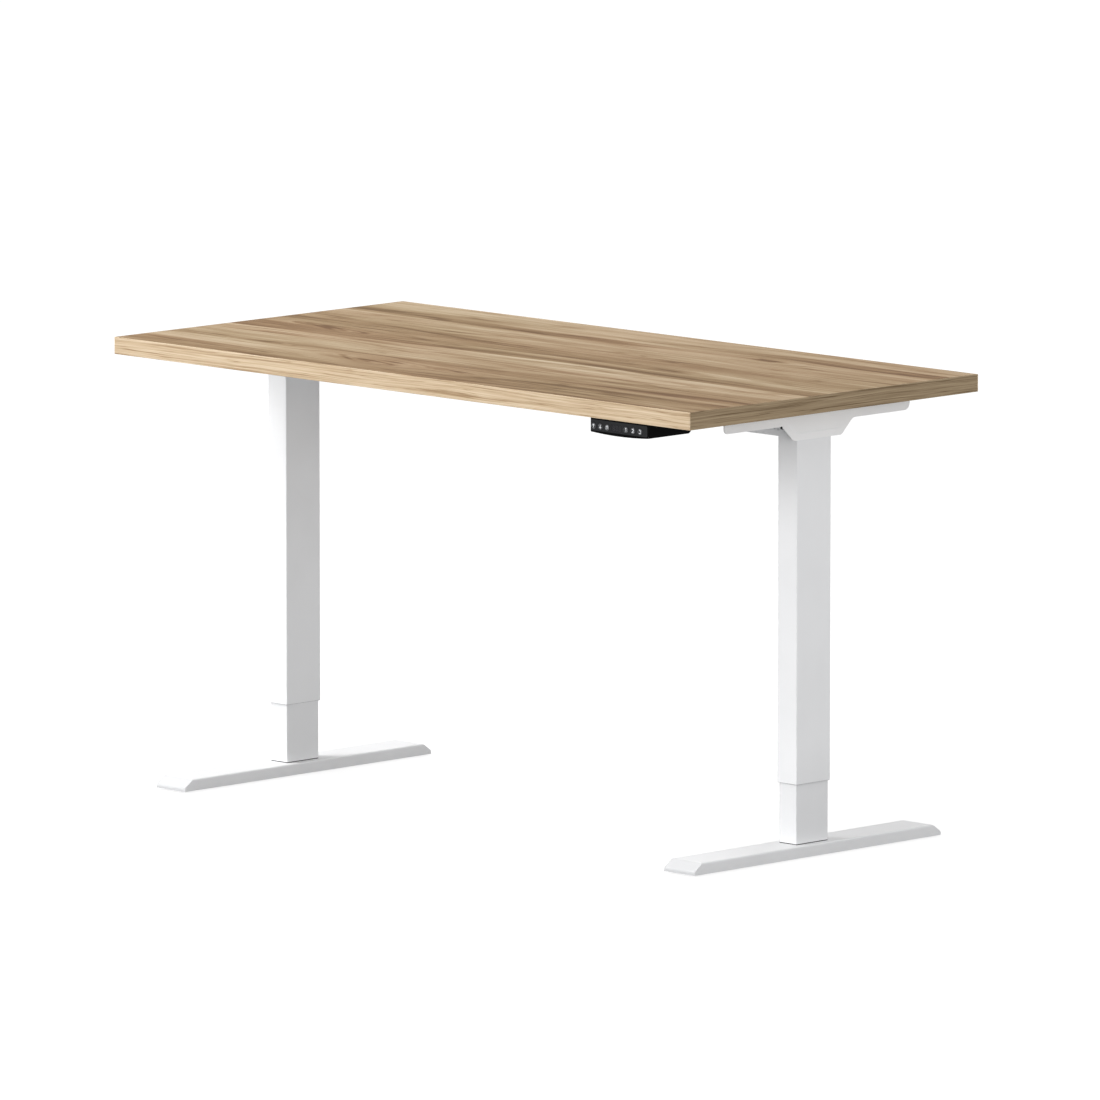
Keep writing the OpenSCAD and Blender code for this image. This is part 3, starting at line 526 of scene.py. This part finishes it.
def make_materials():
    """Every finish by name: one for each slot of the record, and those of single pieces within a slot."""
    white = (0.846, 0.851, 0.862)
    fine_peel = {"grain": 700, "depth": 0.020, "roughness": 0.42}
    coarse_peel = {"grain": 1100, "depth": 0.060, "roughness": 0.5}
    # Painted shade on the feet: a darker white for their faces turned along Y.
    foot_painted_shade_ends = (0.635, 0.64, 0.65)
    smooth_skin = {"grain": 2200, "depth": 0.01, "specular": 0.2}
    glassy = {"grain": 600, "depth": 0.002, "specular": 0.3}
    ink = {"grain": 3000, "depth": 0.005}
    front_tones = (rgb(152, 126, 95), rgb(189, 166, 136), rgb(208, 189, 162))
    end_tones = (rgb(108, 88, 62), rgb(144, 124, 96), rgb(167, 147, 118))
    return {
        "frame_coat": coated_steel("frame_coat", white, **fine_peel),
        # Painted shade: the lower tubes take a darker copy of the frame's white coat, which dims the low part
        # of each leg.
        "lower_coat_painted_shade": coated_steel("lower_coat_painted_shade", (0.81, 0.815, 0.826), **fine_peel),
        # Painted light: the brackets take a brighter copy of the frame's white coat, which lifts them where
        # the desktop shades them.
        "bracket_coat_painted_light": coated_steel("bracket_coat_painted_light", (0.93, 0.93, 0.932), **fine_peel),
        "dark_plate": metal("dark_plate", (0.035, 0.035, 0.037), 0.5),
        "unlit_segment": plastic("unlit_segment", (0.030, 0.030, 0.032), 0.3, specular=0.2),
        "foot_coat": coated_steel("foot_coat", white, **coarse_peel, painted_shade_ends=foot_painted_shade_ends),
        "wood_laminate": wood_figure(),
        "front_band": wood_band("wood_edge_long", 0, *front_tones),
        "end_band": wood_band("wood_edge_end", 1, *end_tones),
        "chipboard": chipboard(),
        "bare_steel": metal("bare_steel", (0.62, 0.63, 0.64), 0.32),
        "bronze": metal("bronze", (0.62, 0.44, 0.20), 0.35),
        "cast_metal": metal("cast_metal", (0.42, 0.43, 0.45), 0.55, grain=(300, 300, 300)),
        "motor_coat": plastic("motor_coat", (0.05, 0.05, 0.055), 0.4),
        "white_plastic": plastic("white_plastic", (0.75, 0.75, 0.73), 0.45),
        "grey_plastic": plastic("grey_plastic", (0.40, 0.40, 0.41), 0.5),
        "pad_plastic": plastic("pad_plastic", (0.012, 0.012, 0.013), 0.55),
        "black_plastic": plastic("black_plastic", (0.010, 0.010, 0.011), 0.5, specular=0.35),
        "circuit_board": circuit_board(),
        "handset_plastic": plastic("handset_plastic", (0.0012, 0.0012, 0.0014), 0.5, specular=0.06),
        "handset_gloss": plastic("handset_gloss", (0.013, 0.0135, 0.0145), 0.4, **smooth_skin),
        "display_window": plastic("display_window", (0.008, 0.008, 0.010), 0.12, **glassy),
        "button_plastic": plastic("button_plastic", (0.016, 0.0165, 0.018), 0.45, **smooth_skin),
        "button_print": plastic("button_print", (0.58, 0.59, 0.61), 0.5, **ink),
        "ring_print": plastic("ring_print", (0.17, 0.172, 0.18), 0.5, **ink),
        "lead_sheath": plastic("lead_sheath", (0.014, 0.014, 0.015), 0.5, grain=900, depth=0.02),
    }


# CAD nodes whose finish differs from the others of their slot.
OWN_FINISH = {
    "front_edge_band": "front_band",
    "back_edge_band": "front_band",
    "side_edge_bands": "end_band",
    "left_side_bracket": "bracket_coat_painted_light",
    "right_side_bracket": "bracket_coat_painted_light",
    "left_lower_tube": "lower_coat_painted_shade",
    "right_lower_tube": "lower_coat_painted_shade",
    "left_tube_base": "dark_plate",
    "right_tube_base": "dark_plate",
}
# How far the sharp edges of a CAD node are rounded, in millimetres.
ROUNDED = {
    "front_edge_band": 0.6,
    "back_edge_band": 0.6,
    "side_edge_bands": 0.6,
    "left_side_bracket": 1.1,
    "right_side_bracket": 1.1,
    "left_motor_housing": 0.6,
    "right_motor_housing": 0.6,
    "front_rail": 0.5,
    "back_rail": 0.5,
    "rail_end_caps": 0.4,
    "control_box": 0.8,
    "control_box_lid": 0.4,
    "mains_inlet": 0.4,
    "handset_face": 0.15,
    "cable_clips": 0.4,
}
BUTTON_ROUNDED = 0.25
ROUNDED.update({name: BUTTON_ROUNDED for name in NODES if name.endswith("_button")})
# Edges are rounded where their faces turn by more than this, in degrees. The brackets have shallow bends too.
SHARP_TURN = 50
BRACKET_TURN = 18


def round_edges(piece, width, sharp_turn):
    """Rounds the sharp edges of a CAD node. Its faces come in unjoined, so they are welded first."""
    weld = piece.modifiers.new("weld", "WELD")
    weld.merge_threshold = 0.002 * MM
    bevel = piece.modifiers.new("bevel", "BEVEL")
    bevel.width = width * MM
    bevel.segments = 3
    bevel.limit_method = "ANGLE"
    bevel.angle_limit = math.radians(sharp_turn)
    bevel.miter_outer = "MITER_ARC"
    bevel.use_clamp_overlap = True
    smooth = piece.modifiers.new("smooth", "WEIGHTED_NORMAL")
    smooth.keep_sharp = False
    smooth.weight = 80


def dress_cad_nodes(materials):
    """Gives every CAD node its material, and rounds the edges of those that show them."""
    for part in frame["record"]["subparts"]:
        name = part["node"]
        piece = NODES[name]
        piece.data.materials.clear()
        piece.data.materials.append(materials[OWN_FINISH.get(name, part["material_slot"])])
        if name in ROUNDED:
            sharp_turn = BRACKET_TURN if name.endswith("_bracket") else SHARP_TURN
            round_edges(piece, ROUNDED[name], sharp_turn)


# ---------------------------------------------------------------- pieces in mesh code

def add_piece(name, data, finish, body):
    """Puts a mesh or curve in the scene, gives it its finish and lets it move with a CAD body."""
    data.materials.append(MATERIALS[finish])
    piece = bpy.data.objects.new(name, data)
    bpy.context.scene.collection.objects.link(piece)
    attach(piece, body)
    return piece


def to_mesh(name, built):
    """A mesh of what was built, with every face turned outwards. What was built is used up."""
    bmesh.ops.recalc_face_normals(built, faces=built.faces)
    mesh = bpy.data.meshes.new(name)
    built.to_mesh(mesh)
    built.free()
    return mesh


def arc(x, z, radius, start, end, steps=14):
    """Points on an arc, with its angles in degrees."""
    angles = [math.radians(start + (end - start) * k / steps) for k in range(steps + 1)]
    return [(x + radius * math.cos(a), z + radius * math.sin(a)) for a in angles]


def add_stroke(built, centre, points, width, raised, closed=False):
    """A printed line with mitred corners, facing the front. Its points are in millimetres round centre."""
    spots = [Vector(point) for point in points]
    count = len(spots)
    rings = []
    for k, spot in enumerate(spots):
        before = spots[k - 1] if closed or k > 0 else None
        after = spots[(k + 1) % count] if closed or k < count - 1 else None
        ways = [(spot - before).normalized()] if before else []
        ways += [(after - spot).normalized()] if after else []
        along = sum(ways, Vector((0, 0))).normalized()
        side = Vector((-along.y, along.x))
        reach = width / 2 / max(0.5, side.dot(Vector((-ways[0].y, ways[0].x))))
        ring = []
        for offset, depth in ((-1, 0), (-0.9, -raised), (0.9, -raised), (1, 0)):
            at = spot + side * reach * offset
            ring.append(built.verts.new(centre + Vector((at.x, depth, at.y)) * MM))
        rings.append(ring)
    pairs = list(zip(rings, rings[1:]))
    if closed:
        pairs.append((rings[-1], rings[0]))
    for ring, following in pairs:
        for k in range(4):
            built.faces.new((ring[k], ring[(k + 1) % 4], following[(k + 1) % 4], following[k]))
    if not closed:
        built.faces.new(rings[0])
        built.faces.new(reversed(rings[-1]))


# Strokes of each button's mark, in millimetres from its middle.
MARKS = {
    "up_button": [[(0, -3.0), (0, 1.9)], [(-2.2, 0.7), (0, 2.9), (2.2, 0.7)]],
    "down_button": [[(0, 3.0), (0, -1.9)], [(-2.2, -0.7), (0, -2.9), (2.2, -0.7)]],
    "memory_button": [[(-2.0, -2.8)] + arc(0, 0.7, 2.0, 180, 0) + [(2.0, -2.8)]],
    "preset_1_button": [[(-1.4, 1.6), (0.3, 2.8), (0.3, -2.9)]],
    "preset_2_button": [arc(0, 1.2, 1.7, 165, -40) + [(-1.8, -2.6), (2.0, -2.6)]],
    "preset_3_button": [arc(-0.1, 1.4, 1.5, 150, -85), arc(-0.1, -1.35, 1.6, 85, -150)],
}


def print_buttons():
    """A ring and a mark on each button's cap, raised by the thickness of the print."""
    ring_radius = 4.4
    circle = arc(0, 0, ring_radius, 0, 348, 29)  # 30 points, 12 degrees apart
    ring_width, ring_raised = 0.55, 0.10
    mark_width, mark_raised = 1.3, 0.12
    for name, strokes in MARKS.items():
        low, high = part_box(name)
        centre = Vector(((low.x + high.x) / 2, low.y, (low.z + high.z) / 2))
        ring = bmesh.new()
        add_stroke(ring, centre, circle, ring_width, ring_raised, closed=True)
        add_piece(name + "_ring", to_mesh(name + "_ring", ring), "ring_print", name)
        mark = bmesh.new()
        for points in strokes:
            add_stroke(mark, centre, points, mark_width, mark_raised)
        add_piece(name + "_mark", to_mesh(name + "_mark", mark), "button_print", name)


def add_digits():
    """The display's unlit segments: three figures and a point between the last two."""
    low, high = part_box("handset_display")
    centre = Vector(((low.x + high.x) / 2, low.y, (low.z + high.z) / 2))
    half_w, half_h, gap = 1.8, 3.8, 0.5
    pitch = 7.2
    raised = 0.05
    built = bmesh.new()
    for figure in (-1, 0, 1):
        x = pitch * figure
        bars = [[(x - half_w + gap, z), (x + half_w - gap, z)] for z in (-half_h, 0, half_h)]
        for side in (-half_w, half_w):
            bars += [[(x + side, z + gap), (x + side, z + half_h - gap)] for z in (-half_h, 0)]
        for bar in bars:
            add_stroke(built, centre, bar, 0.8, raised)
    point = [(pitch / 2, -half_h - 0.3), (pitch / 2, -half_h + 0.4)]
    add_stroke(built, centre, point, 0.7, raised)
    digits = to_mesh("display_digits", built)
    add_piece("display_digits", digits, "unlit_segment", "top_frame")


def turned(profile, steps, flutes, flute_depth):
    """A turned solid round Z. Each ring of the profile is a radius, a height, and 1 if it is fluted."""
    built = bmesh.new()
    rings = []
    for radius, height, fluted in profile:
        ring = []
        for k in range(steps):
            angle = 2 * math.pi * k / steps
            cut = flute_depth * (0.5 - 0.5 * math.cos(flutes * angle)) if fluted else 0
            reach = radius - cut
            ring.append(built.verts.new((reach * math.cos(angle), reach * math.sin(angle), height)))
        rings.append(ring)
    for ring, following in zip(rings, rings[1:]):
        for k in range(steps):
            built.faces.new((ring[k], ring[(k + 1) % steps], following[(k + 1) % steps], following[k]))
    built.faces.new(rings[0])
    built.faces.new(rings[-1])
    return built


def add_pads():
    """Levelling pads with a knurled rim and a ridged stud."""
    for side in SIDES:
        for end in ("front", "back"):
            node = side + "_" + end + "_pad"
            low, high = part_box(node)
            radius = (high.x - low.x) / 2 / MM
            rim = [
                (radius - 1.4, 0.0, 0), (radius - 0.4, 0.5, 0), (radius, 1.0, 1),
                (radius, 3.0, 1), (radius - 1.2, 3.5, 0), (radius - 5, 4.8, 0),
            ]
            stud = [(4.0 - 0.45 * (k % 2), 5.0 + 0.6 * k, 0) for k in range(20)]
            tip = [(3.4, 17.0, 0)]
            built = turned(rim + stud + tip, 144, flutes=36, flute_depth=0.7)
            place = Matrix.Translation(((low.x + high.x) / 2, (low.y + high.y) / 2, low.z))
            built.transform(place @ Matrix.Scale(MM, 4))
            piece = add_piece(node + "_knurled", to_mesh(node, built), "pad_plastic", node)
            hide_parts(node)


def rounded_corners(low, high, inset, radius, height):
    """Points round a box seen from above, drawn in by inset, with rounded corners."""
    corners = ((high, high, 0), (low, high, 90), (low, low, 180), (high, low, 270))
    points = []
    for across, along, turn in corners:
        x = across.x + (inset + radius) * (1 if across is low else -1)
        y = along.y + (inset + radius) * (1 if along is low else -1)
        points += [Vector((px, py, height)) for px, py in arc(x, y, radius, turn, turn + 90, 8)]
    return points


def add_sleeve_rims_and_painted_shade():
    """The grey rim of the plastic sleeve, just below each upper tube's edge and clear of the lower tube. Its
    grey is also painted shade: it draws the dark line under each upper tube's edge.
    """
    thickness = 0.6 * MM
    clear = 0.3 * MM
    corner = 1.8 * MM
    for side in SIDES:
        outer_low, outer_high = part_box(side + "_upper_tube")
        inner_low, inner_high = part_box(side + "_lower_tube")
        top = outer_low.z
        bottom = top - thickness
        built = bmesh.new()
        rings = []
        for low, high, inset, height in (
            (outer_low, outer_high, clear, bottom), (outer_low, outer_high, clear, top),
            (inner_low, inner_high, -clear, top), (inner_low, inner_high, -clear, bottom),
        ):
            points = rounded_corners(low, high, inset, corner, height)
            rings.append([built.verts.new(point) for point in points])
        for ring, following in zip(rings, rings[1:] + rings[:1]):
            for k in range(len(ring)):
                after = (k + 1) % len(ring)
                built.faces.new((ring[k], ring[after], following[after], following[k]))
        name = side + "_sleeve_rim_and_painted_shade"
        add_piece(name, to_mesh(name, built), "grey_plastic", "top_frame")


# Routes of the leads in millimetres, with Z up from the desktop's underside.
MOTOR_LEAD = [
    (514, 20, -41), (472, 20, -41), (458, 34, -41), (458, 88, -41), (446, 112, -16),
    (426, 126, -5), (190, 126, -5), (150, 126, -16), (114, 126, -20),
]
HANDSET_LEAD = [
    (530, -254, -12), (530, -238, -11), (524, -218, -5), (430, -120, -5), (300, -96, -5), (110, -88, -5),
    (84, -78, -30), (78, -62, -40), (78, 68, -40), (78, 77, -25), (78, 92, -25),
]


def smooth_route(points):
    """A curve through every point that doesn't swing out where a long stretch meets a short one."""
    steps = 10
    longest_handle = 20
    spots = [Vector(point) for point in points]
    ways = []
    for k in range(len(spots)):
        before = spots[max(k - 1, 0)]
        after = spots[min(k + 1, len(spots) - 1)]
        ways.append((after - before).normalized())
    route = [spots[0]]
    for k in range(len(spots) - 1):
        start, end = spots[k], spots[k + 1]
        reach = min((end - start).length / 2.7, longest_handle)
        leaving = start + ways[k] * reach
        arriving = end - ways[k + 1] * reach
        route += interpolate_bezier(start, leaving, arriving, end, steps + 1)[1:]
    return route


def add_leads():
    """Two motor leads and the handset's lead, as round cords with smooth bends."""
    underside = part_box("laminate_sheets")[0].z
    thick, thin = 2.6, 2.0
    curve = bpy.data.curves.new("leads", "CURVE")
    curve.dimensions = "3D"
    curve.bevel_depth = thick * MM
    curve.bevel_resolution = 5
    curve.use_fill_caps = True
    mirrored = [(-x, y, z) for x, y, z in MOTOR_LEAD]
    for route, radius in ((MOTOR_LEAD, thick), (mirrored, thick), (HANDSET_LEAD, thin)):
        points = smooth_route(route)
        spline = curve.splines.new("POLY")
        spline.points.add(len(points) - 1)
        for spot, at in zip(spline.points, points):
            spot.co = (at.x * MM, at.y * MM, at.z * MM + underside, 1)
            spot.radius = radius / thick
    piece = add_piece("leads", curve, "lead_sheath", "top_frame")
    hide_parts("cable_leads")


# ---------------------------------------------------------------- making it

make_camera()
make_light()
make_floor()
MATERIALS = make_materials()
dress_cad_nodes(MATERIALS)
print_buttons()
add_digits()
add_pads()
add_sleeve_rims_and_painted_shade()
add_leads()
